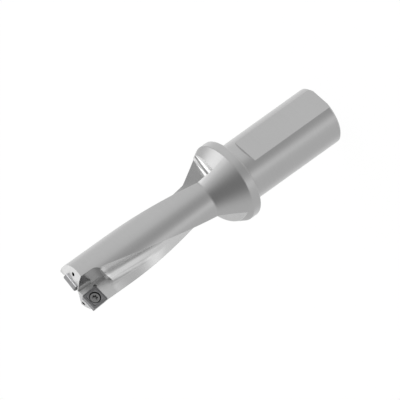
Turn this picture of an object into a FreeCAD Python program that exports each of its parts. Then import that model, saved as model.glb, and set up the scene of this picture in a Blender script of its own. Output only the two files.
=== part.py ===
import FreeCAD, Part
import math
import os
import re

import Sketcher

# Indexable drill, millimetres. The shank stands on its end face at z = 0 and the cutting tip points up +Z.
# The drill axis is the Z axis. +X goes through the outer corner of the peripheral insert, whose rake face
# looks along +Y. The central insert sits half a turn further round, so its rake face looks along -Y.

os.makedirs("parts", exist_ok=True)
doc = FreeCAD.newDocument("indexable_drill")

X_AXIS = FreeCAD.Vector(1, 0, 0)
Y_AXIS = FreeCAD.Vector(0, 1, 0)
Z_AXIS = FreeCAD.Vector(0, 0, 1)
ORIGIN = FreeCAD.Vector(0, 0, 0)

# Driving dimensions

SIZES = [
    ("shank_diameter", 32.0, "clamped cylinder"),
    ("shank_length", 60.0, "from the end face to the back of the flange"),
    ("shank_chamfer", 1.0, "at the end face"),
    ("flat_distance", 14.0, "from the axis to the clamping flat"),
    ("flat_reach", 51.2, "height where the flat starts to run out"),
    ("flat_angle", 106.4, "degrees about the axis"),
    ("flange_diameter", 44.3, ""),
    ("flange_thickness", 5.2, ""),
    ("flange_rounding", 0.9, "both rims"),
    ("neck_length", 16.6, "cone between flange and fluted body"),
    ("neck_rounding", 2.5, "where the cone meets the fluted body"),
    ("body_diameter", 26.8, "over the lands"),
    ("body_length", 84.1, "from the cone to the flat centre of the tip"),
    ("flute_lead", 380.0, "height of one full turn of the helix"),
    ("flute_web", 3.56, "from the axis to the foot of the trailing wall"),
    ("flute_lean", 5.0, "degrees that the trailing wall leans back"),
    ("flute_corner", 6.4, "radius in the corner of the flute"),
    ("peripheral_flute_sink", 0.9, "its floor, below the plane through the axis"),
    ("central_flute_sink", 0.3, "its floor, below the plane through the axis"),
    ("flute_start", 5.8, "from the flange front to the flute end, on the axis"),
    ("flute_tilt", 12.0, "degrees that the flute end leans, square to the helix"),
    ("flute_step", 0.65, "how much deeper the second pass runs out"),
    ("flute_first_pass", 7.5, "width of the first pass"),
    ("flute_square", 17.5, "tip centre down to where the flutes lie square to the inserts"),
    ("gullet_length", 18.9, "straight chip pocket at the peripheral insert, on its floor"),
    ("gullet_sink", 0.8, "below the rake face"),
    ("gullet_wall", 1.5, "from the axis to the inner wall at the floor"),
    ("gullet_lean", 9.5, "degrees that the pocket walls lean back"),
    ("gullet_overhang", 23.0, "degrees that the end leans towards the tip"),
    ("gullet_corner", 5.5, "radius of the milled end"),
    ("gullet_overlap", 8.0, "how far the helical flute runs into the pocket"),
    ("central_gullet_length", 15.5, "chip pocket at the central insert"),
    ("central_gullet_past", 0.4, "how far it passes the axis"),
    ("central_gullet_margin", 0.3, "beyond the outer side of the insert"),
    ("central_gullet_lean", 18.0, "degrees that its walls lean back"),
    ("central_gullet_corner", 4.5, "radius of the milled end"),
    ("insert_size", 9.525, "across the flanks at the cutting edge"),
    ("insert_thickness", 3.97, ""),
    ("insert_corner", 0.8, "nose radius"),
    ("insert_clearance", 8.0, "degrees of flank relief"),
    ("insert_land", 0.35, "flat rim between edge and chip groove"),
    ("insert_groove", 1.1, "width of the chip groove"),
    ("insert_groove_depth", 0.3, ""),
    ("insert_groove_slope", 30.0, "degrees that the groove walls lean"),
    ("insert_hole", 4.4, ""),
    ("insert_countersink", 6.1, ""),
    ("insert_tilt", 3.0, "degrees that the insert turns to clear its outer flank"),
    ("peripheral_radius", 9.0, "axis to the middle of the peripheral insert"),
    ("peripheral_drop", 5.0, "tip centre down to the middle of the peripheral insert"),
    ("central_radius", 4.3, "axis to the middle of the central insert"),
    ("central_drop", 3.6, "tip centre down to the middle of the central insert"),
    ("seat_relief", 0.9, "radius of the relief bore in the seat corner"),
    ("seat_gap", 0.2, "free side of the central seat"),
    ("central_point_slope", 11.0, "degrees that the front face falls outward"),
    ("peripheral_point_slope", 5.0, "degrees that the front face falls outward"),
    ("relief_slope", 7.4, "degrees that each front face falls behind its edge"),
    ("central_front_drop", 0.1, "tip centre down to the central front face"),
    ("peripheral_front_drop", 1.5, "tip centre down to the peripheral front face"),
    ("ridge_drop", 1.3, "tip centre down to the ridge beside the central chip pocket"),
    ("front_pivot", 4.5, "where those drops are measured, outward from the axis"),
    ("front_pivot_back", 4.0, "and behind the rake face"),
    ("screw_diameter", 3.5, "thread"),
    ("screw_head", 5.2, ""),
    ("screw_rim", 0.35, "straight rim of the head"),
    ("screw_cone", 30.0, "degrees, half angle of head and countersink"),
    ("screw_length", 5.9, ""),
    ("screw_point", 0.4, "chamfer at the end"),
    ("thread_clearance", 0.02, "on the radius"),
    ("thread_runout", 0.3, "below the end of the screw"),
    ("drive_core", 2.4, "star drive, across the inner circle"),
    ("drive_lobe", 0.4, "radius of each lobe"),
    ("drive_depth", 1.3, ""),
    ("coolant_bore", 10.0, "central bore from the shank end"),
    ("coolant_bore_depth", 46.0, ""),
    ("coolant_mouth", 13.0, "countersunk mouth of the bore"),
    ("coolant_channel", 1.8, "channels in the lobes"),
    ("channel_foot", 8.5, "below the fluted body, where each channel meets its feeder"),
    ("central_channel_radius", 9.6, ""),
    ("central_channel_angle", 125.5, "degrees about the axis at the tip"),
    ("peripheral_channel_radius", 11.2, ""),
    ("peripheral_channel_angle", -57.0, "degrees about the axis at the tip"),
    ("overshoot", 4.0, "how far cutting shapes stand out of what they cut"),
]

sheet = doc.addObject("Spreadsheet::Sheet", "Sizes")
for row, (alias, size, note) in enumerate(SIZES, start=1):
    sheet.set("A%d" % row, alias)
    sheet.set("B%d" % row, str(size))
    sheet.set("C%d" % row, note)
    sheet.setAlias("B%d" % row, alias)
doc.recompute()


def bound(formula):
    """Turn words such as body_diameter / 2 into an expression that reads the sheet."""
    words = sorted((alias for alias, size, note in SIZES), key=len, reverse=True)
    return re.sub(r"\b(%s)\b" % "|".join(words), r"Sizes.\1", formula)


def amount(formula):
    """Work a formula out now, for places and directions."""
    return float(sheet.evalExpression(bound(formula)))


# Heights along the axis
FLANGE_TOP = "shank_length + flange_thickness"
NECK_TOP = "shank_length + flange_thickness + neck_length"
TIP = "shank_length + flange_thickness + neck_length + body_length"


# Helpers

def turn(degrees):
    return FreeCAD.Placement(ORIGIN, FreeCAD.Rotation(Z_AXIS, degrees))


def new_body(name):
    body = doc.addObject("PartDesign::Body", name)
    body.Label = name
    return body


def origin_plane(body, role):
    return next(item for item in body.Origin.OriginFeatures if item.Role == role)


def new_sketch(body, name, frame):
    sketch = body.newObject("Sketcher::SketchObject", name)
    sketch.AttachmentSupport = [(origin_plane(body, "XY_Plane"), "")]
    sketch.MapMode = "FlatFace"
    sketch.AttachmentOffset = frame
    return sketch


def bind(sketch, constraint, formula):
    index = sketch.addConstraint(constraint)
    sketch.setExpression("Constraints[%d]" % index, bound(formula))


def pin_point(sketch, item, end, across, up):
    """Hold one point of a sketch at two formulas, measured from the sketch origin."""
    for kind, formula, axis in (("DistanceX", across, -2), ("DistanceY", up, -1)):
        size = amount(formula)
        if abs(size) < 1e-9:
            sketch.addConstraint(Sketcher.Constraint("PointOnObject", item, end, axis))
        else:
            bind(sketch, Sketcher.Constraint(kind, -1, 1, item, end, size), formula)


def outline(sketch, corners):
    """Closed outline of straight sides. A corner is (across, up) or (across, up, radius)."""
    places = [FreeCAD.Vector(amount(c[0]), amount(c[1]), 0) for c in corners]
    count = len(corners)
    leaving = []
    arriving = []
    for index, corner in enumerate(corners):
        here = places[index]
        before = (places[index - 1] - here).normalize()
        after = (places[(index + 1) % count] - here).normalize()
        reach = 0.0
        if len(corner) == 3:
            reach = amount(corner[2]) / math.tan(before.getAngle(after) / 2)
        arriving.append(here + before * reach)
        leaving.append(here + after * reach)
    sides = []
    for index in range(count):
        side = Part.LineSegment(leaving[index], arriving[(index + 1) % count])
        sides.append(sketch.addGeometry(side))
    for index, corner in enumerate(corners):
        last, following = sides[index - 1], sides[index]
        if len(corner) == 2:
            sketch.addConstraint(Sketcher.Constraint("Coincident", last, 2, following, 1))
            pin_point(sketch, following, 1, corner[0], corner[1])
            continue
        here = places[index]
        before = (places[index - 1] - here).normalize()
        after = (places[(index + 1) % count] - here).normalize()
        half = before.getAngle(after) / 2
        middle = here + (before + after).normalize() * (amount(corner[2]) / math.sin(half))
        bulge = middle + (here - middle).normalize() * amount(corner[2])
        arc = Part.Arc(arriving[index], bulge, leaving[index])
        arc_id = sketch.addGeometry(arc)
        first, second = 1, 2
        if (sketch.getPoint(arc_id, 1) - arriving[index]).Length > 1e-6:
            first, second = 2, 1
        sketch.addConstraint(Sketcher.Constraint("Tangent", last, 2, arc_id, first))
        sketch.addConstraint(Sketcher.Constraint("Tangent", following, 1, arc_id, second))
        bind(sketch, Sketcher.Constraint("Radius", arc_id, amount(corner[2])), corner[2])
        mark = sketch.addGeometry(Part.Point(here), True)
        pin_point(sketch, mark, 1, corner[0], corner[1])
        sketch.addConstraint(Sketcher.Constraint("PointOnObject", mark, 1, last))
        sketch.addConstraint(Sketcher.Constraint("PointOnObject", mark, 1, following))


def circle(sketch, across, up, radius):
    centre = FreeCAD.Vector(amount(across), amount(up), 0)
    ring = sketch.addGeometry(Part.Circle(centre, Z_AXIS, amount(radius)))
    pin_point(sketch, ring, 3, across, up)
    bind(sketch, Sketcher.Constraint("Radius", ring, amount(radius)), radius)


def add_pad(body, name, sketch, length, taper=None, down=False, both=False):
    pad = body.newObject("PartDesign::Pad", name)
    pad.Profile = sketch
    pad.setExpression("Length", bound(length))
    pad.Reversed = down
    pad.Midplane = both
    if taper:
        pad.setExpression("TaperAngle", bound(taper))
    sketch.Visibility = False
    return pad


def add_turned(body, name, sketch, cut=False):
    kind = "PartDesign::Groove" if cut else "PartDesign::Revolution"
    turned = body.newObject(kind, name)
    turned.Profile = sketch
    turned.ReferenceAxis = (sketch, ["V_Axis"])
    turned.Angle = 360
    return turned


def rim_edges(shape, radius, height):
    """Names of the full circles of one radius at one height."""
    names = []
    for index, edge in enumerate(shape.Edges, start=1):
        if edge.Curve.TypeId != "Part::GeomCircle":
            continue
        curve = edge.Curve
        if abs(curve.Radius - radius) < 1e-4 and abs(curve.Center.z - height) < 1e-4:
            names.append("Edge%d" % index)
    return names


def add_rounding(body, name, base, rims, radius):
    rounding = body.newObject("PartDesign::Fillet", name)
    names = []
    for rim_radius, rim_height in rims:
        names += rim_edges(base.Shape, amount(rim_radius), amount(rim_height))
    rounding.Base = (base, names)
    rounding.setExpression("Radius", bound(radius))
    return rounding


UPRIGHT = FreeCAD.Placement(ORIGIN, FreeCAD.Rotation(X_AXIS, 90))


# Turned blank: shank, flange, cone and the round body before the flutes

def make_blank():
    body = new_body("drill_blank")
    sketch = new_sketch(body, "blank_profile", UPRIGHT)
    outline(sketch, [
        ("0", "0"),
        ("shank_diameter / 2 - shank_chamfer", "0"),
        ("shank_diameter / 2", "shank_chamfer"),
        ("shank_diameter / 2", "shank_length"),
        ("flange_diameter / 2", "shank_length"),
        ("flange_diameter / 2", FLANGE_TOP),
        ("body_diameter / 2", NECK_TOP, "neck_rounding"),
        ("body_diameter / 2", TIP),
        ("0", TIP),
    ])
    turned = add_turned(body, "blank_turned", sketch)
    doc.recompute()
    rims = [("flange_diameter / 2", "shank_length"), ("flange_diameter / 2", FLANGE_TOP)]
    add_rounding(body, "flange_rims", turned, rims, "flange_rounding")
    body.Placement = turn(amount("flat_angle"))
    return body


# Clamping flat of the shank, with its sloping run-out towards the flange

def make_flat_cutter():
    body = new_body("flat_cutter")
    sketch = new_sketch(body, "flat_profile", UPRIGHT)
    outline(sketch, [
        ("flat_distance", "-overshoot"),
        ("shank_diameter / 2 + overshoot", "-overshoot"),
        ("shank_diameter / 2 + overshoot", "flat_reach + shank_diameter / 2 + overshoot - flat_distance"),
        ("flat_distance", "flat_reach"),
    ])
    add_pad(body, "flat_pad", sketch, "shank_diameter", both=True)
    body.Placement = turn(amount("flat_angle"))
    return body


# Helical flutes

def flute_frame(side, drop):
    """Frame of a flute section at its lower end, turned with the helix and square to it."""
    straight = amount(TIP) - amount("flute_square")
    height = amount(FLANGE_TOP) + amount("flute_start") - drop
    angle = side - 360.0 * (straight - height) / amount("flute_lead")
    middle = FreeCAD.Vector(math.cos(math.radians(45)), math.sin(math.radians(45)), 0)
    lean = FreeCAD.Rotation(middle, -amount("flute_tilt"))
    spin = FreeCAD.Rotation(Z_AXIS, angle)
    return FreeCAD.Placement(FreeCAD.Vector(0, 0, height), spin.multiply(lean))


def make_helix(name, start, height, radius):
    helix = doc.addObject("Part::Helix", name)
    helix.LocalCoord = "Right-handed"
    helix.setExpression("Pitch", bound("flute_lead"))
    helix.setExpression("Height", bound(height))
    helix.setExpression("Radius", bound(radius))
    helix.Placement = start
    return helix


def make_sweep(name, section, helix):
    sweep = doc.addObject("Part::Sweep", name)
    sweep.Sections = [section]
    sweep.Spine = (helix, ["Edge1"])
    sweep.Solid = True
    sweep.Frenet = True
    return sweep


FLUTE_SPAN = "neck_length + body_length - flute_start"
BEYOND = "flange_diameter / 2 + overshoot"


def make_flute_cutter(name, side, sink, height):
    frame = flute_frame(side, 0.0)
    section = doc.addObject("Sketcher::SketchObject", name + "_section")
    section.Placement = frame
    outline(section, [
        ("flute_web", "-" + sink, "flute_corner"),
        (BEYOND, "-" + sink),
        (BEYOND, BEYOND),
        ("flute_web - tan(flute_lean) * (%s + %s)" % (BEYOND, sink), BEYOND),
    ])
    angle = 45.0 + side
    start = FreeCAD.Placement(FreeCAD.Vector(0, 0, frame.Base.z), FreeCAD.Rotation(Z_AXIS, angle))
    helix = make_helix(name + "_helix", start, height, "body_diameter / 3")
    return make_sweep(name, section, helix)


def make_second_pass_cutter(name, side, sink):
    frame = flute_frame(side, amount("flute_step"))
    section = doc.addObject("Sketcher::SketchObject", name + "_section")
    section.Placement = frame
    outline(section, [
        ("flute_web + flute_first_pass", "-" + sink),
        (BEYOND, "-" + sink),
        (BEYOND, BEYOND),
        ("flute_web + flute_first_pass - tan(flute_lean) * (%s + %s)" % (BEYOND, sink), BEYOND),
    ])
    angle = 45.0 + side
    start = FreeCAD.Placement(FreeCAD.Vector(0, 0, frame.Base.z), FreeCAD.Rotation(Z_AXIS, angle))
    helix = make_helix(name + "_helix", start, "flute_step * 4", "body_diameter / 3")
    return make_sweep(name, section, helix)


# Straight chip pockets in front of the inserts, milled square to the rake face

FACING_RAKE = FreeCAD.Placement(ORIGIN, FreeCAD.Rotation(X_AXIS, -90))
GULLET_RISE = "body_diameter / 2 + overshoot"


def make_peripheral_gullet_cutter(name):
    """Drawn twice, on the floor and above the land, because each side leans by its own angle."""
    plans = [
        ("_floor", "0", "gullet_wall", "gullet_length"),
        ("_top", GULLET_RISE, "gullet_wall - tan(gullet_lean) * (%s)" % GULLET_RISE,
         "gullet_length - tan(gullet_overhang) * (%s)" % GULLET_RISE),
    ]
    sections = []
    for suffix, rise, inner, reach in plans:
        section = doc.addObject("Sketcher::SketchObject", name + suffix)
        place = FreeCAD.Vector(0, amount(rise) - amount("gullet_sink"), amount(TIP))
        section.Placement = FreeCAD.Placement(place, FACING_RAKE.Rotation)
        outline(section, [
            (inner, "-overshoot"),
            ("body_diameter", "-overshoot"),
            ("body_diameter", reach),
            (inner, reach, "gullet_corner"),
        ])
        sections.append(section)
    loft = doc.addObject("Part::Loft", name)
    loft.Sections = sections
    loft.Solid = True
    loft.Ruled = True
    return loft


def make_central_gullet_cutter(name):
    body = new_body(name)
    sketch = new_sketch(body, name + "_plan", FACING_RAKE)
    outer = "central_radius + insert_size / 2 + central_gullet_margin"
    outline(sketch, [
        ("-central_gullet_past", "-overshoot"),
        (outer, "-overshoot"),
        (outer, "central_gullet_length", "central_gullet_corner"),
        ("-central_gullet_past", "central_gullet_length", "central_gullet_corner"),
    ])
    add_pad(body, name + "_pad", sketch, "body_diameter / 2 + overshoot", taper="central_gullet_lean")
    place = FreeCAD.Vector(0, 0, amount(TIP))
    body.Placement = turn(CENTRAL).multiply(FreeCAD.Placement(place, FreeCAD.Rotation()))
    return body


# Inserts, their seats and their screws share one frame: rake face at local z = 0, local x outward,
# local y towards the shank

def insert_frame(side, radius, drop):
    place = FreeCAD.Vector(amount(radius), 0, amount(TIP) - amount(drop))
    lie = FreeCAD.Rotation(X_AXIS, -90).multiply(FreeCAD.Rotation(Z_AXIS, amount("insert_tilt")))
    return turn(side).multiply(FreeCAD.Placement(place, lie))


def square(half, corner=None):
    signs = [("-", "-"), ("", "-"), ("", ""), ("-", "")]
    if corner:
        return [("%s(%s)" % (a, half), "%s(%s)" % (b, half), corner) for a, b in signs]
    return [("%s(%s)" % (a, half), "%s(%s)" % (b, half)) for a, b in signs]


def make_insert(name, frame):
    body = new_body(name)
    rim = new_sketch(body, name + "_edge", FreeCAD.Placement())
    outline(rim, square("insert_size / 2", "insert_corner"))
    add_pad(body, name + "_block", rim, "insert_thickness", taper="-insert_clearance", down=True)

    groove = new_sketch(body, name + "_groove_plan", FreeCAD.Placement())
    outline(groove, square("insert_size / 2 - insert_land", "insert_corner"))
    outline(groove, square("insert_size / 2 - insert_land - insert_groove", "insert_corner"))
    chip_groove = body.newObject("PartDesign::Pocket", name + "_chip_groove")
    chip_groove.Profile = groove
    chip_groove.setExpression("Length", bound("insert_groove_depth"))
    chip_groove.setExpression("TaperAngle", bound("-insert_groove_slope"))

    bore = new_sketch(body, name + "_bore_profile", UPRIGHT)
    cone = "(insert_countersink - insert_hole) / 2 / tan(screw_cone)"
    outline(bore, [
        ("0", "overshoot"),
        ("insert_countersink / 2", "overshoot"),
        ("insert_countersink / 2", "0"),
        ("insert_hole / 2", "-" + cone),
        ("insert_hole / 2", "-insert_thickness - overshoot"),
        ("0", "-insert_thickness - overshoot"),
    ])
    add_turned(body, name + "_bore", bore, cut=True)
    body.Placement = frame
    return body


def make_seat_cutter(name, frame, open_inside):
    """Square seat with the flank angle of the insert, open to the front and to one side."""
    body = new_body(name)
    plan = new_sketch(body, name + "_plan", FreeCAD.Placement())
    near = "-insert_size / 2"
    inner = near + " - seat_gap" if open_inside else near
    outer = "insert_size / 2" if open_inside else "insert_size * 1.5"
    relief_across = "insert_size / 2" if open_inside else near
    outline(plan, [
        (inner, "-insert_size * 1.5"),
        (outer, "-insert_size * 1.5"),
        (outer, "insert_size / 2"),
        (inner, "insert_size / 2"),
    ])
    add_pad(body, name + "_pad", plan, "insert_thickness", taper="-insert_clearance", down=True)
    relief = new_sketch(body, name + "_relief_plan", FreeCAD.Placement())
    circle(relief, relief_across, "insert_size / 2", "seat_relief")
    add_pad(body, name + "_relief", relief, "insert_thickness", down=True)
    body.Placement = frame
    return body


HEAD_SINK = "(insert_countersink - screw_head) / 2 / tan(screw_cone)"


def make_screw(name, frame):
    body = new_body(name)
    profile = new_sketch(body, name + "_profile", UPRIGHT)
    top = "screw_rim - %s" % HEAD_SINK
    cone = "(screw_head - screw_diameter) / 2 / tan(screw_cone)"
    outline(profile, [
        ("0", top),
        ("screw_head / 2", top),
        ("screw_head / 2", "-" + HEAD_SINK),
        ("screw_diameter / 2", "-%s - %s" % (HEAD_SINK, cone)),
        ("screw_diameter / 2", "%s - screw_length + screw_point" % top),
        ("screw_diameter / 2 - screw_point", "%s - screw_length" % top),
        ("0", "%s - screw_length" % top),
    ])
    add_turned(body, name + "_turned", profile)
    head_top = FreeCAD.Placement(FreeCAD.Vector(0, 0, amount(top)), FreeCAD.Rotation())
    core = new_sketch(body, name + "_drive_plan", head_top)
    circle(core, "0", "0", "drive_core / 2")
    drive = body.newObject("PartDesign::Pocket", name + "_drive")
    drive.Profile = core
    drive.setExpression("Length", bound("drive_depth"))
    lobe = new_sketch(body, name + "_lobe_plan", head_top)
    circle(lobe, "drive_core / 2", "0", "drive_lobe")
    lobe_cut = body.newObject("PartDesign::Pocket", name + "_lobe")
    lobe_cut.Profile = lobe
    lobe_cut.setExpression("Length", bound("drive_depth"))
    doc.recompute()
    lobes = body.newObject("PartDesign::PolarPattern", name + "_lobes")
    lobes.Originals = [lobe_cut]
    lobes.Axis = (lobe, ["N_Axis"])
    lobes.Angle = 360
    lobes.Occurrences = 6
    body.Tip = lobes
    body.Placement = frame
    return body


def make_thread_cutter(name, frame):
    bore = doc.addObject("Part::Cylinder", name)
    bore.setExpression("Radius", bound("screw_diameter / 2 + thread_clearance"))
    bore.setExpression("Height", bound("screw_length"))
    depth = amount("screw_length - screw_rim + %s + thread_runout" % HEAD_SINK)
    foot = FreeCAD.Placement(FreeCAD.Vector(0, 0, -depth), FreeCAD.Rotation())
    bore.Placement = frame.multiply(foot)
    return bore


# Sloping front faces, one over each lobe

def make_front_cutter(name, side, drop, slope):
    box = doc.addObject("Part::Box", name)
    box.setExpression("Length", bound("body_diameter"))
    box.setExpression("Width", bound("body_diameter + front_pivot_back"))
    box.setExpression("Height", bound("body_diameter / 2"))
    fall = math.tan(math.radians(amount(slope)))
    relief = math.tan(math.radians(amount("relief_slope")))
    normal = FreeCAD.Vector(fall, -relief, 1)
    across = FreeCAD.Vector(-amount("front_pivot + overshoot"), -amount("body_diameter"), 0)
    corner = FreeCAD.Placement(across, FreeCAD.Rotation())
    pivot = FreeCAD.Vector(amount("front_pivot"), -amount("front_pivot_back"), amount(TIP) - amount(drop))
    tilt = FreeCAD.Placement(pivot, FreeCAD.Rotation(Z_AXIS, normal))
    box.Placement = turn(side).multiply(tilt).multiply(corner)
    return box


def make_ridge_cutter():
    """Levels the ridge that stays between the central chip pocket and the land."""
    box = doc.addObject("Part::Box", "ridge_cutter")
    box.setExpression("Length", bound("body_diameter / 2"))
    box.setExpression("Width", bound("body_diameter / 2"))
    box.setExpression("Height", bound("overshoot"))
    across = amount("central_radius + insert_size / 2")
    corner = FreeCAD.Vector(across, -amount("seat_gap"), amount(TIP) - amount("ridge_drop"))
    box.Placement = turn(CENTRAL).multiply(FreeCAD.Placement(corner, FreeCAD.Rotation()))
    return box


# Coolant: a bore from the shank end, two feeders and two channels that follow the flutes

def make_bore_cutter():
    body = new_body("coolant_bore_cutter")
    profile = new_sketch(body, "coolant_bore_profile", UPRIGHT)
    outline(profile, [
        ("0", "-overshoot"),
        ("coolant_mouth / 2 + overshoot", "-overshoot"),
        ("coolant_bore / 2", "(coolant_mouth - coolant_bore) / 2"),
        ("coolant_bore / 2", "coolant_bore_depth"),
        ("0", "coolant_bore_depth + coolant_bore / 4"),
    ])
    add_turned(body, "coolant_bore_turned", profile)
    return body


def make_channel_cutters(name, radius, angle):
    """A channel along the helix and the slanting hole that feeds it.

    The channel has twelve sides, which keeps its mesh light.
    """
    foot = amount(NECK_TOP) - amount("channel_foot")
    turned_back = 360.0 * (amount(TIP) - foot) / amount("flute_lead")
    heading = FreeCAD.Rotation(Z_AXIS, amount(angle) - turned_back)
    helix_start = FreeCAD.Placement(FreeCAD.Vector(0, 0, foot), heading)
    helix = make_helix(name + "_helix", helix_start, "channel_foot + body_length + overshoot", radius)
    section = doc.addObject("Part::RegularPolygon", name + "_section")
    section.Polygon = 12
    section.setExpression("Circumradius", bound("coolant_channel / 2"))
    meeting = helix_start.multVec(FreeCAD.Vector(amount(radius), 0, 0))
    section.Placement = FreeCAD.Placement(meeting, heading)
    channel = make_sweep(name, section, helix)

    feeder = doc.addObject("Part::Cylinder", name + "_feeder")
    mouth = heading.multVec(FreeCAD.Vector(amount("coolant_bore / 4"), 0, 0))
    mouth.z = amount("coolant_bore_depth")
    meeting.z += amount("coolant_channel / 4")
    feeder.setExpression("Radius", bound("coolant_channel / 2"))
    feeder.Height = (meeting - mouth).Length
    feeder.Placement = FreeCAD.Placement(mouth, FreeCAD.Rotation(Z_AXIS, meeting - mouth))
    return [channel, feeder]


# Put together

PERIPHERAL = 0
CENTRAL = 180

peripheral_frame = insert_frame(PERIPHERAL, "peripheral_radius", "peripheral_drop")
central_frame = insert_frame(CENTRAL, "central_radius", "central_drop")

blank = make_blank()
cutters = [
    make_flat_cutter(),
    make_flute_cutter("flute_cutter_one", PERIPHERAL, "peripheral_flute_sink",
                      FLUTE_SPAN + " - gullet_length + gullet_overlap"),
    make_flute_cutter("flute_cutter_two", CENTRAL, "central_flute_sink", FLUTE_SPAN + " + overshoot"),
    make_second_pass_cutter("second_pass_one", PERIPHERAL, "peripheral_flute_sink"),
    make_second_pass_cutter("second_pass_two", CENTRAL, "central_flute_sink"),
    make_peripheral_gullet_cutter("peripheral_gullet_cutter"),
    make_central_gullet_cutter("central_gullet_cutter"),
    make_front_cutter("peripheral_front_cutter", PERIPHERAL, "peripheral_front_drop",
                      "peripheral_point_slope"),
    make_front_cutter("central_front_cutter", CENTRAL, "central_front_drop", "central_point_slope"),
    make_ridge_cutter(),
    make_seat_cutter("peripheral_seat_cutter", peripheral_frame, False),
    make_seat_cutter("central_seat_cutter", central_frame, True),
    make_thread_cutter("peripheral_thread_cutter", peripheral_frame),
    make_thread_cutter("central_thread_cutter", central_frame),
    make_bore_cutter(),
]
for side in ("central_channel", "peripheral_channel"):
    cutters += make_channel_cutters(side, side + "_radius", side + "_angle")

drill_body = blank
for cutter in cutters:
    cut = doc.addObject("Part::Cut", "cut_" + cutter.Name)
    cut.Base = drill_body
    cut.Tool = cutter
    drill_body = cut
drill_body.Label = "drill_body"

pieces = [
    drill_body,
    make_insert("peripheral_insert", peripheral_frame),
    make_insert("central_insert", central_frame),
    make_screw("peripheral_insert_screw", peripheral_frame),
    make_screw("central_insert_screw", central_frame),
]
doc.recompute()

# Check and export

for item in doc.Objects:
    for word in ("Invalid", "Error"):
        if word in item.State:
            raise RuntimeError("%s is %s" % (item.Label, item.State))
for piece in pieces:
    if piece.Shape.isNull() or not piece.Shape.isValid():
        raise RuntimeError("%s has no valid shape" % piece.Label)
    piece.Shape.exportStep("parts/%s.step" % piece.Label)
    print(piece.Label, round(piece.Shape.Volume), "mm3", len(piece.Shape.Solids), "solid")
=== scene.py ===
import math

import bpy
from mathutils import Matrix, Vector


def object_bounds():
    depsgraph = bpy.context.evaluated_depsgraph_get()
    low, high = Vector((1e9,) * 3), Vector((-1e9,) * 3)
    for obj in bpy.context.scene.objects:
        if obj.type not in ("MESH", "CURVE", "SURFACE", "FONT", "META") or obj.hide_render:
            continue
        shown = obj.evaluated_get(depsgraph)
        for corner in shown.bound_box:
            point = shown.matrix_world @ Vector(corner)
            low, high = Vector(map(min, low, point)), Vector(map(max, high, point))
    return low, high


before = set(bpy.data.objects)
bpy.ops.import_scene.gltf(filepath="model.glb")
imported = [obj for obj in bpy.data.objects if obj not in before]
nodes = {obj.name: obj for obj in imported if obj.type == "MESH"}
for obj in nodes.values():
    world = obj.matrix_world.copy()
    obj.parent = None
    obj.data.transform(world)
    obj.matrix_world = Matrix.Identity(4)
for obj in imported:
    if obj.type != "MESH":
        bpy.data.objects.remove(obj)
cad_low, cad_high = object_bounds()

# %% [markdown]
# # An indexable drill in a small white studio
#
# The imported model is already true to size: one steel body with two helical flutes, two square carbide
# inserts and the two screws that hold them. Blender adds what the eye knows about such a tool: ground
# and milled steel, dark coated carbide, blackened screws, and soft light.
#
# Every length in Blender is in metres. A drill is easier to read in millimetres, so MM turns one into
# the other.

# %% Names and lengths
MM = 0.001
size = cad_high - cad_low
print("Pieces from the model:", sorted(nodes))
print("Size in mm:", [round(value / MM, 1) for value in size])

# %% [markdown]
# ## The camera comes first
#
# The picture was taken from far away with a long lens: the shank doesn't grow smaller towards its end.
# An orthographic camera gives exactly that look. The drill stands upright on its shank, and the camera
# rolls over instead, so that the drill lies across the picture with its tip down on the left.
#
# A camera looks along its own -Z, with +X to the right and +Y up. Three directions at right angles,
# right, up and back, are therefore all that its rotation needs, one for each column of a matrix.

# %% Camera
VIEW_TURN = math.radians(76.0)
VIEW_TILT = math.radians(23.791)
VIEW_ROLL = math.radians(35.6)
VIEW_WIDTH = 201.9 * MM
TARGET_HEIGHT, TARGET_LEFT = 81.6 * MM, 0.41 * MM
CAMERA_DISTANCE = 0.8

facing = Vector((math.cos(VIEW_TURN), math.sin(VIEW_TURN), 0.0))
sideways = Vector((math.sin(VIEW_TURN), -math.cos(VIEW_TURN), 0.0))
upright = Vector((0.0, 0.0, 1.0))

back = math.cos(VIEW_TILT) * facing + math.sin(VIEW_TILT) * upright
along = (upright - back * upright.dot(back)).normalized()
right = math.sin(VIEW_ROLL) * sideways - math.cos(VIEW_ROLL) * along
up = back.cross(right)
target = upright * TARGET_HEIGHT - sideways * TARGET_LEFT

camera_data = bpy.data.cameras.new("camera")
camera_data.type = "ORTHO"
camera_data.ortho_scale = VIEW_WIDTH
camera = bpy.data.objects.new("camera", camera_data)
bpy.context.scene.collection.objects.link(camera)
turned = Matrix((right, up, back)).transposed().to_4x4()
camera.matrix_world = Matrix.Translation(target + back * CAMERA_DISTANCE) @ turned
bpy.context.scene.camera = camera
bpy.context.scene.view_settings.view_transform = "Standard"
print("The camera looks along", [round(value, 3) for value in -back])

# %% [markdown]
# ## Small helpers for node trees
#
# A material or a world is a tree of nodes. Written out in full, each node takes three lines, which
# hides the idea. These helpers add one node in one line: its kind, what goes into its sockets, and
# the settings it needs. A socket takes a plain number, or the output of an earlier node.

# %% Node helpers
def add_node(tree, kind, inputs=(), **settings):
    """Add a node. Its inputs are numbers, colours or the outputs of other nodes, by place or by name."""
    node = tree.nodes.new(kind)
    for name, value in settings.items():
        setattr(node, name, value)
    pairs = inputs.items() if isinstance(inputs, dict) else enumerate(inputs)
    for place, value in pairs:
        if value is None:
            continue
        if isinstance(value, bpy.types.NodeSocket):
            tree.links.new(value, node.inputs[place])
        else:
            node.inputs[place].default_value = value
    return node


def calc(tree, operation, first, *others):
    """Arithmetic. Where there are more than two numbers, it goes on from left to right."""
    if not others:
        return add_node(tree, "ShaderNodeMath", [first], operation=operation).outputs[0]
    for value in others:
        first = add_node(tree, "ShaderNodeMath", [first, value], operation=operation).outputs[0]
    return first


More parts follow.
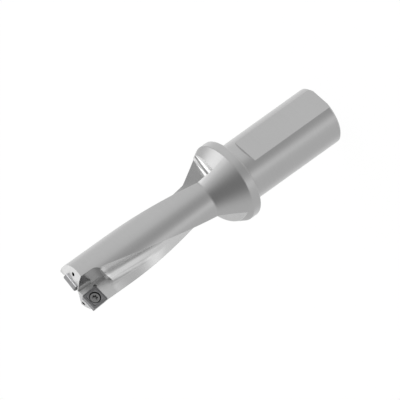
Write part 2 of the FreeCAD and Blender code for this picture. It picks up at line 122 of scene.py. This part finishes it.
def vector_calc(tree, operation, *vectors):
    """The same with vectors. The result is a vector."""
    return add_node(tree, "ShaderNodeVectorMath", vectors, operation=operation).outputs[0]


def along_direction(tree, vector, direction):
    """How far a vector points along a direction."""
    inputs = (vector, tuple(direction))
    return add_node(tree, "ShaderNodeVectorMath", inputs, operation="DOT_PRODUCT").outputs["Value"]


def blend(tree, share, first, second):
    """Mix two numbers. Sockets 2 and 3 of a Mix node are its pair for numbers."""
    node = add_node(tree, "ShaderNodeMix", {0: share, 2: first, 3: second}, data_type="FLOAT")
    return node.outputs[0]


print("Node helpers ready")

# %% [markdown]
# ## Ramps and bands
#
# Nearly everything below is drawn with two forms. A ramp fades from one number to another while a
# value, such as a height, goes from low to high. A band is a ramp on both sides of a line: in the
# middle it has its own level, and outside it fades to 1, so that it can be multiplied into a
# brightness. Its four numbers are the centre, half the width, the width of the fade and the level.
# Smooth fades look like light or like worn steel, where a hard step looks like paint.

# %% Ramps and bands
def ramp(tree, value, low, high, start=0.0, end=1.0, kind="SMOOTHSTEP"):
    """Fade from start to end while value goes from low to high."""
    inputs = {"Value": value, "From Min": low, "From Max": high, "To Min": start, "To Max": end}
    return add_node(tree, "ShaderNodeMapRange", inputs, interpolation_type=kind).outputs["Result"]


def away_from(tree, value, centre):
    """How far a number is from a centre, on either side."""
    return calc(tree, "ABSOLUTE", calc(tree, "SUBTRACT", value, centre))


def band(tree, value, centre, half, soft, level):
    """The level within half of the centre, fading to 1 over the soft width beyond."""
    return ramp(tree, away_from(tree, value, centre), half, half + soft, level, 1.0)


print("Ramps and bands ready")

# %% [markdown]
# ## A white studio with one darker side
#
# Bare metal has no colour of its own to speak of: it shows what stands around it. In a room that is
# evenly white a steel cylinder looks like flat grey paper. The photographer's studio is white too, but
# its camera side is darker, and that is what draws the soft dark band along the shank and the body,
# and the darker front of the cone.
#
# Panels round the drill could do this, but they would show in the picture or need much care. Here the
# world itself has the pattern, and only reflections will see it. It depends on two numbers: how far a
# direction turns away from the camera, and how high it points. Left and right are meant as in the
# picture, and high and low as in the room, where the drill stands upright.
#
# The dark front comes first. It is narrow for reflections that go down and wide for those that go up,
# and the rest is a little brighter on the left than on the right.

# %% Dark front of the studio
FRONT_HEIGHTS = (-0.40, 0.45)
FRONT_CENTRES = (math.radians(0.0), math.radians(22.0))
FRONT_INNER = (math.radians(6.0), math.radians(15.0))
FRONT_OUTER = (math.radians(40.0), math.radians(68.0))
FRONT_LEVELS = (0.68, 0.34)
SIDE_EDGES = (-0.4, 0.4)
SIDE_LEVELS = (1.13, 0.96)

world = bpy.data.worlds.new("studio")
bpy.context.scene.world = world
world.use_nodes = True
tree = world.node_tree
tree.nodes.clear()
looking = add_node(tree, "ShaderNodeTexCoord").outputs["Generated"]
height = along_direction(tree, looking, upright)
toward_right = along_direction(tree, looking, sideways)
toward_camera = along_direction(tree, looking, facing)
turn = calc(tree, "ARCTAN2", toward_right, toward_camera)
side = ramp(tree, toward_right, *SIDE_EDGES, *SIDE_LEVELS)
front = ramp(tree, height, *FRONT_HEIGHTS, *FRONT_LEVELS)
centre = ramp(tree, height, *FRONT_HEIGHTS, *FRONT_CENTRES)
inner = ramp(tree, height, *FRONT_HEIGHTS, *FRONT_INNER)
outer = ramp(tree, height, *FRONT_HEIGHTS, *FRONT_OUTER)
from_centre = away_from(tree, turn, centre)
mirrored = blend(tree, ramp(tree, from_centre, inner, outer), front, side)
print("World nodes for the dark front:", len(tree.nodes))

# %% [markdown]
# ## Three brighter places
#
# Three places in the studio are brighter than the rest, and each is added to the pattern:
#
# - an upper corner behind the drill on the left, for the cone's highlight and the front faces;
# - a little more light low down behind the drill, for the floor of the near flute;
# - a narrow strip on the right, low down, for the thin line along the shank and the flute.

# %% Bright places of the studio
CORNER_TURN = math.radians(-125.0)
CORNER_EDGES = (0.12, 0.42)
CORNER_LOW_HEIGHTS, CORNER_LOW_EXTRA = (-0.36, -0.2), (0.08, -0.18)
CORNER_HIGH_HEIGHTS, CORNER_HIGH_EXTRA = (0.10, 0.34), 1.0
BEHIND_EDGES = (-0.35, -0.75)
BEHIND_HEIGHTS, BEHIND_EXTRA = (-0.38, -0.3), 0.28
STRIP_TURN = math.radians(38.0)
STRIP_EDGES = (math.radians(2.0), math.radians(18.0))
STRIP_HEIGHTS, STRIP_EXTRA = (-0.2, 0.2), 0.42

corner_side = math.cos(CORNER_TURN) * facing + math.sin(CORNER_TURN) * sideways
extra = ramp(tree, height, *CORNER_LOW_HEIGHTS, *CORNER_LOW_EXTRA)
extra = blend(tree, ramp(tree, height, *CORNER_HIGH_HEIGHTS), extra, CORNER_HIGH_EXTRA)
in_corner = ramp(tree, along_direction(tree, looking, corner_side), *CORNER_EDGES)
corner = calc(tree, "MULTIPLY", in_corner, extra)

behind = ramp(tree, toward_camera, *BEHIND_EDGES, 0.0, BEHIND_EXTRA)
behind = calc(tree, "MULTIPLY", behind, ramp(tree, height, *BEHIND_HEIGHTS, 1.0, 0.0))

strip = ramp(tree, away_from(tree, turn, STRIP_TURN), *STRIP_EDGES, STRIP_EXTRA, 0.0)
strip = calc(tree, "MULTIPLY", strip, ramp(tree, height, *STRIP_HEIGHTS, 1.0, 0.0))

mirrored = calc(tree, "ADD", mirrored, corner, behind, strip)
print("World nodes with the bright places:", len(tree.nodes))

# %% [markdown]
# ## Each kind of ray sees its own studio
#
# A Light Path node tells the kinds of rays apart. Reflections see the pattern. Loose light, which
# would reach a painted surface, stays even. To the camera the world is plain white, because the
# picture has a white background.

# %% World
EVEN_LEVEL = 0.45
WHITE = 1.0

rays = add_node(tree, "ShaderNodeLightPath").outputs
straight = calc(tree, "MAXIMUM", rays["Is Camera Ray"], rays["Is Transmission Ray"])
level = blend(tree, rays["Is Glossy Ray"], EVEN_LEVEL, mirrored)
level = blend(tree, straight, level, WHITE)
background = add_node(tree, "ShaderNodeBackground", {"Strength": level})
add_node(tree, "ShaderNodeOutputWorld", [background.outputs[0]])
print("World nodes:", len(tree.nodes))

# %% [markdown]
# ## One large softbox
#
# A wide lamp stands behind the drill on the left, on the side of the world's bright corner. It adds a
# little to the highlights there and gives the floor its faint shadow. A wide lamp makes wide, soft
# highlights and soft shadows. The camera doesn't see the lamp itself.

# %% Softbox
AIM_HEIGHT = 100 * MM


def add_softbox(name, turn_from_camera, lift, distance, wide, tall, brightness):
    """A lamp that looks at the drill, with its angles in degrees. Brightness 1 makes its face white."""
    data = bpy.data.lights.new(name, "AREA")
    data.shape = "RECTANGLE"
    data.size = wide
    data.size_y = tall
    data.energy = brightness * math.pi * wide * tall
    turn = math.radians(turn_from_camera)
    rise = math.radians(lift)
    flat = math.cos(turn) * facing + math.sin(turn) * sideways
    toward = math.cos(rise) * flat + math.sin(rise) * upright
    lamp = bpy.data.objects.new(name, data)
    bpy.context.scene.collection.objects.link(lamp)
    lamp.location = upright * AIM_HEIGHT + toward * distance
    lamp.rotation_mode = "QUATERNION"
    lamp.rotation_quaternion = toward.to_track_quat("Z", "Y")
    lamp.visible_camera = False
    return lamp


softbox = add_softbox(
    "softbox_back_left", turn_from_camera=-120, lift=32, distance=0.9, wide=1.9, tall=0.8, brightness=0.15,
)
print("Softbox:", softbox.name)

# %% [markdown]
# ## The floor
#
# The drill stands on a white table. To the camera the table is nearly as white as the background, and
# only a faint shadow is left round the shank, as on a light table. Reflections look past it into the
# white room, so the steel isn't darkened by the shadow below.

# %% Floor
FLOOR_WIDTH = 6.0
PAPER_COLOUR = (0.9, 0.9, 0.9, 1)
PAPER_GLOW = 1.12
GLOW_SHARE = 0.85

bpy.ops.object.select_all(action="DESELECT")
bpy.ops.mesh.primitive_plane_add(size=FLOOR_WIDTH, location=(0, 0, 0))
floor = bpy.context.object
floor.name = "floor"
floor.visible_glossy = False
paper = bpy.data.materials.new("white_table")
paper.use_nodes = True
tree = paper.node_tree
tree.nodes.clear()
matt = add_node(tree, "ShaderNodeBsdfDiffuse", {"Color": PAPER_COLOUR})
white = add_node(tree, "ShaderNodeEmission", {"Strength": PAPER_GLOW})
rays = add_node(tree, "ShaderNodeLightPath").outputs
share = calc(tree, "MULTIPLY", rays["Is Camera Ray"], GLOW_SHARE)
mixed = add_node(tree, "ShaderNodeMixShader", [share, matt.outputs[0], white.outputs[0]])
add_node(tree, "ShaderNodeOutputMaterial", [mixed.outputs[0]])
floor.data.materials.append(paper)
print("Floor:", floor.name)

# %% [markdown]
# ## Materials start from the place on the drill
#
# Every finish below follows the tool: lines run round the shank because it was turned and ground, and
# marks lie across the flutes because a cutter milled them. So each material begins with the place in
# millimetres. It comes from Object coordinates. The pieces sit at the origin, so these are the
# drill's own coordinates.
#
# Lines and spots come from noise. Noise that is squeezed along one axis turns into lines across that
# axis, so a grain is given as so many grains per millimetre in each direction.

# %% Place and grain
ROUND_Z = (1, 1, 0)
ROUND_Y = (1, 0, 1)
NOISE_MIDDLE = 0.5


def start_material(name):
    """An empty material, with its node tree and the place in millimetres."""
    material = bpy.data.materials.new(name)
    material.use_nodes = True
    tree = material.node_tree
    tree.nodes.clear()
    coordinates = add_node(tree, "ShaderNodeTexCoord").outputs["Object"]
    place = vector_calc(tree, "MULTIPLY", coordinates, (1 / MM, 1 / MM, 1 / MM))
    return material, tree, place


def distance_from(tree, place, middle, axes):
    """The distance from a middle, measured in the plane of two axes."""
    offset = vector_calc(tree, "SUBTRACT", place, middle)
    offset = vector_calc(tree, "MULTIPLY", offset, axes)
    return add_node(tree, "ShaderNodeVectorMath", [offset], operation="LENGTH").outputs["Value"]


def grain(tree, place, per_mm, detail=2.0, roughness=0.5):
    """Noise around its middle value, with so many grains per millimetre along each axis."""
    scaled = vector_calc(tree, "MULTIPLY", place, per_mm)
    settings = {"Vector": scaled, "Scale": 1.0, "Detail": detail, "Roughness": roughness}
    return add_node(tree, "ShaderNodeTexNoise", settings).outputs[0]


print("Place and grain ready")

# %% [markdown]
# ## How a metal material ends
#
# A metal reflects in its own colour, so the Principled shader is set to fully metallic and its base
# colour is how much it reflects. Grain is far too fine for the mesh. The Bump node tilts the shading
# as if the surface went up and down, which is all that the eye sees of it.

# %% Metal finish
GREY = (1.0, 1.0, 1.0)


def add_bump(tree, relief, strength, depth, normal=None):
    """Shading that goes up and down with the relief. Depth is in millimetres."""
    inputs = {"Strength": strength, "Distance": depth * MM, "Height": relief, "Normal": normal}
    return add_node(tree, "ShaderNodeBump", inputs).outputs[0]


def rounded_edges(tree, radius):
    """Normals that are rounded at the edges. The radius is in millimetres."""
    return add_node(tree, "ShaderNodeBevel", {"Radius": radius * MM}, samples=6).outputs[0]


def finish_metal(tree, brightness, roughness, bump, shade=GREY):
    """Close the tree with a metal shader."""
    parts = [calc(tree, "MULTIPLY", brightness, share) for share in shade]
    colour = add_node(tree, "ShaderNodeCombineColor", parts).outputs[0]
    inputs = {"Base Color": colour, "Metallic": 1.0, "Roughness": roughness, "Normal": bump}
    shader = add_node(tree, "ShaderNodeBsdfPrincipled", inputs)
    add_node(tree, "ShaderNodeOutputMaterial", [shader.outputs[0]])


def dress(material, *names):
    """Give the material to pieces of the model."""
    for name in names:
        nodes[name].data.materials.clear()
        nodes[name].data.materials.append(material)
    print(material.name, "on", names, "with", len(material.node_tree.nodes), "nodes")


print("Metal finish ready")

# %% [markdown]
# ## Satin steel: turned outside, milled flutes
#
# The body is hardened steel with a satin surface. It was turned and ground outside, and a cutter
# milled the flutes. Two materials on two sets of faces could show that, but a mask needs no choice of
# faces and follows every edge: whatever lies deeper than the outside of the body or the cone has been
# milled. The mask starts just above the foot of the cone, so the flange and the shank stay ground.

# %% Turned or milled
CONE_HEIGHTS = (65.2, 81.8)
CONE_RADII = (22.15, 13.4)
MILLED_FROM = 65.7
MILLED_DEPTHS = (0.05, 0.2)

steel, tree, place = start_material("satin_steel")
height = along_direction(tree, place, upright)
radius = distance_from(tree, place, (0, 0, 0), ROUND_Z)
outside = ramp(tree, height, *CONE_HEIGHTS, *CONE_RADII, kind="LINEAR")
deep = ramp(tree, calc(tree, "SUBTRACT", outside, radius), *MILLED_DEPTHS)
milled = calc(tree, "MULTIPLY", deep, calc(tree, "GREATER_THAN", height, MILLED_FROM))
print("The flutes count as milled from a height of", MILLED_FROM, "mm")

# %% [markdown]
# ## Lines and grain in the steel
#
# The outside gets fine lines round the axis, and the flutes get shorter and wider marks. A very fine
# grain everywhere breaks the reflection up, and slow patches keep large faces from looking computed.
# Lines and grain together make the relief, and later the lines also make the steel a little lighter
# and darker.

# %% Lines and grain
TURNED_GRAIN = (0.06, 0.06, 4.0)
MILLED_GRAIN = (0.25, 0.25, 1.6)
FINE_GRAIN = (5.0, 5.0, 5.0)
PATCH_GRAIN = (0.05, 0.05, 0.03)
LINES_RELIEF, FINE_RELIEF = 0.7, 0.3

turned_lines = grain(tree, place, TURNED_GRAIN, detail=3.0, roughness=0.6)
milled_lines = grain(tree, place, MILLED_GRAIN)
fine = grain(tree, place, FINE_GRAIN, roughness=0.6)
patches = grain(tree, place, PATCH_GRAIN)
lines = blend(tree, milled, turned_lines, milled_lines)
relief = calc(
    tree, "ADD", calc(tree, "MULTIPLY", lines, LINES_RELIEF), calc(tree, "MULTIPLY", fine, FINE_RELIEF),
)
steel_bump = add_bump(tree, relief, strength=0.35, depth=0.004)
print("Turned lines per mm:", TURNED_GRAIN[2], "and milled lines per mm:", MILLED_GRAIN[2])

# %% [markdown]
# ## Where the flutes end in the cone
#
# Each mark here is one more mask that makes the steel darker or lighter, and each is painted light or
# shade. On the left of the cone one looks into the end of the far flute. Its wall is painted darker
# there as painted shade, and its curved end gets two painted bright reflections side by side with a
# painted dark reflection line between them. The near flute ends on the right, and its end is painted
# dark as painted shade.
#
# The marks were measured in the photograph, so their place is given as the camera sees it. The
# slanted height is the same on every plane that the camera looks along edge on.

# %% Ends of the flutes
GROUND, MILLED, WALL_PAINTED_SHADE, RUN_OUT_PAINTED_HIGHLIGHT, RIGHT_END_PAINTED_SHADE = 0.48, 0.68, 0.34, 0.90, 0.32
SLANT = 0.44
WALL_TURN = math.radians(125.0)
WALL_EDGES = (1.0, 5.0)
WALL_PAINTED_SHADE_HEIGHTS = (104.0, 92.0)
RUN_OUT_HEIGHTS = (72.0, 71.5)
RUN_OUT_PAINTED_DARK_LINE = (69.9, 0.2, 0.5, 0.3)
RIGHT_END_HEIGHTS = (83.4, 82.6)

slanted = along_direction(tree, place, upright - SLANT * facing)
wall_side = along_direction(tree, place, (math.cos(WALL_TURN), math.sin(WALL_TURN), 0.0))
on_wall = ramp(tree, wall_side, *WALL_EDGES)
# Painted shade on the wall of the far flute.
painted_wall_shade = calc(tree, "MULTIPLY", on_wall, ramp(tree, height, *WALL_PAINTED_SHADE_HEIGHTS))
in_flute = blend(tree, painted_wall_shade, MILLED, WALL_PAINTED_SHADE)
# Painted reflections at the end of the far flute: two bright bands with a dark line between them.
painted_run_out_reflection = calc(tree, "MULTIPLY", band(tree, slanted, *RUN_OUT_PAINTED_DARK_LINE), RUN_OUT_PAINTED_HIGHLIGHT)
at_end = calc(tree, "MULTIPLY", on_wall, ramp(tree, slanted, *RUN_OUT_HEIGHTS))
in_flute = blend(tree, at_end, in_flute, painted_run_out_reflection)
off_wall = calc(tree, "SUBTRACT", 1.0, on_wall)
# Painted shade at the end of the near flute.
painted_right_end_shade = calc(tree, "MULTIPLY", off_wall, ramp(tree, height, *RIGHT_END_HEIGHTS))
in_flute = blend(tree, painted_right_end_shade, in_flute, RIGHT_END_PAINTED_SHADE)
# The painted dark reflection line lies at this slanted height.
print("The two passes meet at a slanted height of", RUN_OUT_PAINTED_DARK_LINE[0], "mm")

# %% [markdown]
# ## The chip pocket
#
# In front of the outer insert the flute opens into a chip pocket. The flute is painted a little
# lighter towards it as painted light, and the pocket itself is painted darker as painted shade. Its
# wall gets a painted dark line and a painted highlight line side by side, and a painted highlight in
# the shape of a crescent lies in the flute where the pocket ends.

# %% Chip pocket
FLUTE_PAINTED_LIGHT = (120.0, 132.0, 1.0, 1.10)
POCKET_PAINTED_SHADE = (146.5, 149.5, 1.0, 0.76)
PAINTED_DARK_STEP_LINE = (1.3, 0.3, 0.3, 0.55)
PAINTED_LIGHT_STEP_LINE = (0.0, 0.2, 0.3, 1.5)
STEP_HEIGHTS = (156.6, 157.2)
POCKET_FOOT = 149.2
CRESCENT_HEIGHTS = (POCKET_FOOT - 4.5, POCKET_FOOT - 1.0)
CRESCENT_CENTRE, CRESCENT_EDGES = 1.6, (2.4, 3.4)
CRESCENT_PAINTED_HIGHLIGHT = 0.5

across = along_direction(tree, place, sideways)
# Painted shade and painted highlight lines on the pocket wall.
painted_step_lines = calc(tree, "MULTIPLY", band(tree, across, *PAINTED_DARK_STEP_LINE), band(tree, across, *PAINTED_LIGHT_STEP_LINE))
painted_step_lines = blend(tree, ramp(tree, slanted, *STEP_HEIGHTS), 1.0, painted_step_lines)
# Painted light in the flute towards the pocket, and painted shade in the pocket.
painted_light_and_shade = calc(tree, "MULTIPLY", ramp(tree, slanted, *FLUTE_PAINTED_LIGHT), ramp(tree, slanted, *POCKET_PAINTED_SHADE))
# A painted highlight in the shape of a crescent where the pocket ends.
painted_crescent_highlight = calc(
    tree, "MULTIPLY",
    ramp(tree, slanted, *CRESCENT_HEIGHTS),
    calc(tree, "LESS_THAN", slanted, POCKET_FOOT),
    ramp(tree, away_from(tree, across, CRESCENT_CENTRE), *CRESCENT_EDGES, CRESCENT_PAINTED_HIGHLIGHT, 0.0),
)
in_flute = calc(tree, "MULTIPLY", in_flute, painted_step_lines, painted_light_and_shade, calc(tree, "ADD", 1.0, painted_crescent_highlight))
print("The pocket ends at a slanted height of", POCKET_FOOT, "mm")

# %% [markdown]
# ## Painted reflections along the near flute
#
# The wall and the floor of the near flute are curved, and the studio's long soft bands are painted on
# them as painted reflections: dark on the wall, light on the floor, and dark again beyond it near the
# pocket. They run at a small slope to the axis. A window keeps them to the near flute, between the
# cone and the pocket.

# %% Bands along the near flute
FLUTE_SLOPE, FLUTE_TOP = 0.076, 147.0
FLUTE_PAINTED_REFLECTIONS = ((0.4, 2.4, 1.0, 0.72), (4.4, 0.4, 0.6, 1.04))
LOWER_PAINTED_REFLECTION = (6.7, 0.8, 0.6, 0.74)
LOWER_BAND_HEIGHTS = (119.0, 128.0)
WINDOW_FOOT, WINDOW_TOP = (104.0, 112.0), (150.0, 147.5)
WINDOW_DEPTHS = (-3.0, -2.0)

sloped = calc(tree, "MULTIPLY", calc(tree, "SUBTRACT", slanted, FLUTE_TOP), FLUTE_SLOPE)
beside = calc(tree, "ADD", across, sloped)
# Painted reflections: dark and light bands multiplied into the brightness.
painted_reflections = [band(tree, beside, *numbers) for numbers in FLUTE_PAINTED_REFLECTIONS]
lower_painted_reflection = band(tree, beside, *LOWER_PAINTED_REFLECTION)
painted_reflections.append(blend(tree, ramp(tree, slanted, *LOWER_BAND_HEIGHTS), 1.0, lower_painted_reflection))
window = calc(
    tree, "MULTIPLY",
    ramp(tree, slanted, *WINDOW_FOOT),
    ramp(tree, slanted, *WINDOW_TOP),
    ramp(tree, along_direction(tree, place, facing), *WINDOW_DEPTHS),
)
in_flute = calc(tree, "MULTIPLY", in_flute, blend(tree, window, 1.0, calc(tree, "MULTIPLY", *painted_reflections)))
print("Bands along the near flute:", len(painted_reflections))

# %% [markdown]
# ## Front faces
#
# The front faces of the drill are ground again after the milling and are a little rougher. They are
# found by their normal, which points nearly straight up. With them the brightness of the steel is
# complete, and the lines and patches are added to it.

# %% Front faces
TIP = 165.9
FRONT_FROM, FRONT_SLOPES = TIP - 8.0, (0.75, 0.9)
GROUND_ROUGHNESS, MILLED_ROUGHNESS, FRONT_ROUGHNESS = 0.30, 0.20, 0.46
PATCHES_SHARE, LINES_SHARE, PATCHES_ROUGHNESS = 0.04, 0.05, 0.06

normal = add_node(tree, "ShaderNodeNewGeometry").outputs["Normal"]
on_front = ramp(tree, along_direction(tree, normal, upright), *FRONT_SLOPES)
on_front = calc(tree, "MULTIPLY", on_front, calc(tree, "GREATER_THAN", height, FRONT_FROM))
brightness = blend(tree, on_front, blend(tree, milled, GROUND, in_flute), GROUND)
brightness = calc(
    tree, "ADD", brightness,
    calc(tree, "MULTIPLY", patches, PATCHES_SHARE),
    calc(tree, "MULTIPLY", calc(tree, "SUBTRACT", lines, NOISE_MIDDLE), LINES_SHARE),
)
roughness = blend(tree, milled, GROUND_ROUGHNESS, MILLED_ROUGHNESS)
roughness = blend(tree, on_front, roughness, FRONT_ROUGHNESS)
roughness = calc(tree, "ADD", roughness, calc(tree, "MULTIPLY", patches, PATCHES_ROUGHNESS))
print("Front faces lie above", FRONT_FROM, "mm")

# %% [markdown]
# ## Coolant holes and the finished steel
#
# The coolant holes come out in the front faces, and their inside is painted dark as painted shade.
# They follow the flutes, so the place is turned back along the helix first, and then each hole is
# simply a circle round one fixed point, given by its distance from the axis and its angle at the tip.
# This paints shade along the whole length of each channel, wherever one can look into it.

# %% Steel body
LEAD = 380.0
HOLES = ((9.6, 125.5), (11.2, -57.0))
HOLE_EDGES, HOLE_PAINTED_SHADE = (1.05, 1.2), 0.02

helix_turn = calc(tree, "MULTIPLY", calc(tree, "SUBTRACT", TIP, height), math.tau / LEAD)
unwound = add_node(
    tree, "ShaderNodeVectorRotate", {"Vector": place, "Angle": helix_turn}, rotation_type="Z_AXIS",
).outputs[0]
for distance, angle in HOLES:
    angle = math.radians(angle)
    middle = (distance * math.cos(angle), distance * math.sin(angle), 0.0)
    away = distance_from(tree, unwound, middle, ROUND_Z)
    # Painted shade inside each coolant hole.
    brightness = calc(tree, "MULTIPLY", brightness, ramp(tree, away, *HOLE_EDGES, HOLE_PAINTED_SHADE, 1.0))
finish_metal(tree, brightness, roughness, steel_bump)
dress(steel, "drill_body")

# %% [markdown]
# ## Coated carbide
#
# The inserts are cemented carbide under a thin dark coating, much darker than the steel. Fine pressed
# grain gives it life. The sunken ring round each screw is painted blacker still as painted shade,
# because hardly any light comes out of it. The flanks are painted a little darker than the face with
# the cutting edges as painted shade, and the underside is painted bright like the ground steel next
# to it as painted light. Both inserts have their cutting edges in one plane through the axis, so the
# depth behind that plane tells face, flank and underside apart.
#
# The Bevel node rounds the edges in the shading only: a real edge is never perfectly sharp, and the
# thin bright line it catches tells the eye how hard the piece is.

# %% Inserts
CARBIDE, CARBIDE_PATCHES = 0.21, 0.08
CARBIDE_FINE_GRAIN = (9.0, 9.0, 9.0)
CARBIDE_PATCH_GRAIN = (0.35, 0.35, 0.35)
SCREW_MIDDLES = ((9.0, 0.0, TIP - 5.0), (-4.3, 0.0, TIP - 3.6))
RING_EDGES, RING_PAINTED_SHADE = (3.05, 3.25), 0.1
FLANK_DEPTHS, FLANK_PAINTED_SHADE = (0.2, 0.4), 0.72
UNDERSIDE_DEPTHS, UNDERSIDE_PAINTED_LIGHT = (3.5, 3.7), 0.85
CARBIDE_ROUGHNESS, UNDERSIDE_ROUGHNESS, FINE_ROUGHNESS = 0.30, 0.45, 0.12
COOL_GREY = (1.0, 1.0, 1.02)

carbide, tree, place = start_material("coated_carbide")
fine = grain(tree, place, CARBIDE_FINE_GRAIN, roughness=0.6)
patches = grain(tree, place, CARBIDE_PATCH_GRAIN)
brightness = calc(tree, "ADD", CARBIDE, calc(tree, "MULTIPLY", patches, CARBIDE_PATCHES))
# Painted shade in the sunken ring round each screw.
for middle in SCREW_MIDDLES:
    away = distance_from(tree, place, middle, ROUND_Y)
    brightness = calc(tree, "MULTIPLY", brightness, ramp(tree, away, *RING_EDGES, RING_PAINTED_SHADE, 1.0))
depth = calc(tree, "ABSOLUTE", along_direction(tree, place, (0, 1, 0)))
# Painted shade on the flanks of the inserts.
brightness = calc(tree, "MULTIPLY", brightness, ramp(tree, depth, *FLANK_DEPTHS, 1.0, FLANK_PAINTED_SHADE))
# Painted light on the underside of the inserts.
underside = ramp(tree, depth, *UNDERSIDE_DEPTHS)
brightness = blend(tree, underside, brightness, UNDERSIDE_PAINTED_LIGHT)
roughness = blend(tree, underside, CARBIDE_ROUGHNESS, UNDERSIDE_ROUGHNESS)
roughness = calc(tree, "ADD", roughness, calc(tree, "MULTIPLY", fine, FINE_ROUGHNESS))
bump = add_bump(tree, fine, strength=0.3, depth=0.004, normal=rounded_edges(tree, radius=0.12))
finish_metal(tree, brightness, roughness, bump, COOL_GREY)
dress(carbide, "peripheral_insert", "central_insert")

# %% [markdown]
# ## Blackened screws
#
# The screws are blackened steel with a thin film of oil. One even grain serves for all of them: it
# makes small differences in how dark and how rough the steel is, and it lies in the relief too.

# %% Screws
BLACKENED, BLACKENED_GRAIN = 0.21, 0.08
OILED_ROUGHNESS, OILED_GRAIN = 0.25, 0.15
SCREW_GRAIN = (6.0, 6.0, 6.0)

blackened, tree, place = start_material("blackened_steel")
fine = grain(tree, place, SCREW_GRAIN, roughness=0.6)
brightness = calc(tree, "ADD", BLACKENED, calc(tree, "MULTIPLY", fine, BLACKENED_GRAIN))
roughness = calc(tree, "ADD", OILED_ROUGHNESS, calc(tree, "MULTIPLY", fine, OILED_GRAIN))
bump = add_bump(tree, fine, strength=0.3, depth=0.005, normal=rounded_edges(tree, radius=0.1))
finish_metal(tree, brightness, roughness, bump)
dress(blackened, "peripheral_insert_screw", "central_insert_screw")
